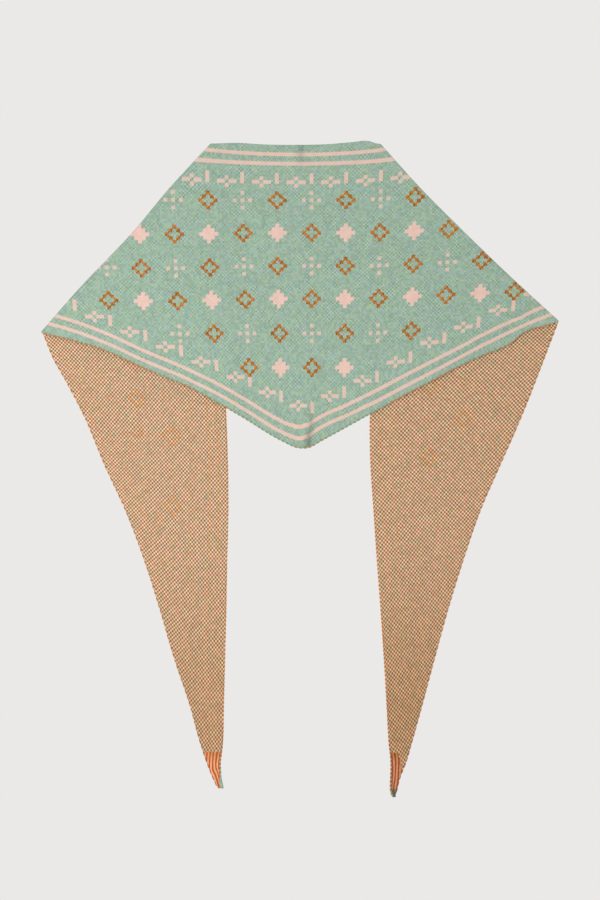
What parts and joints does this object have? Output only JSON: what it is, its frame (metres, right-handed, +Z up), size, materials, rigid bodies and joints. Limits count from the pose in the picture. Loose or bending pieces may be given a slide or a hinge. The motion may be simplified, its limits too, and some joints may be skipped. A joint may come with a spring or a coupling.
{
  "type": "folded triangle shawl",
  "caption": "Jacquard knit triangle shawl laid flat with both ends folded under, so that two long reverse-side tails show below the hem.",
  "frame": {"origin": "middle of the surface that the folded shawl lies on, under the middle of its bounding box", "axes": "+X to the right as seen from above, +Y from the tips to the neck edge, +Z up from the surface"},
  "size_m": [0.647, 0.8201, 0.0074],
  "materials": {
    "knit_face": "matt jacquard knit, pale green with small pink and orange figures",
    "knit_reverse": "matt speckled backing in orange, cream and brown"
  },
  "bodies": {
    "root": {"middle": "knit_face", "tail_left": "knit_reverse", "tail_right": "knit_reverse"}
  },
  "joints": []
}
